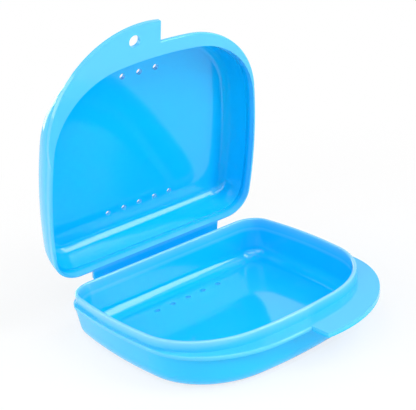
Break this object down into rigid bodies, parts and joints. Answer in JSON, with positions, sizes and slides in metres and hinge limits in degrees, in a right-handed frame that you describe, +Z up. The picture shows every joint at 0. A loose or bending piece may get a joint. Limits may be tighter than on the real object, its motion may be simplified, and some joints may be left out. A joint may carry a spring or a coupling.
{
  "type": "denture case",
  "caption": "Two-part moulded denture case with a living hinge, a raised lip, vent holes and split thumb tabs, one with a hanging hole.",
  "frame": {"origin": "centre of the base tray's flat underside", "axes": "+Z up out of the base tray, -Y towards the thumb tabs at the front, +X to the right"},
  "size_m": [0.08, 0.0972, 0.0963],
  "materials": {
    "plastic": "glossy translucent blue polypropylene"
  },
  "bodies": {
    "base": {"base_tray": "plastic", "hinge_film": "plastic"},
    "lid": {"lid_tray": "plastic"}
  },
  "joints": [
    {"name": "lid_hinge", "type": "hinge", "parent": "base", "child": "lid", "pos_m": [0, 0.042, 0.0127], "axis": [-1, 0, 0], "range_deg": [-72.3, 103.7], "deforming": ["hinge_film"]}
  ]
}
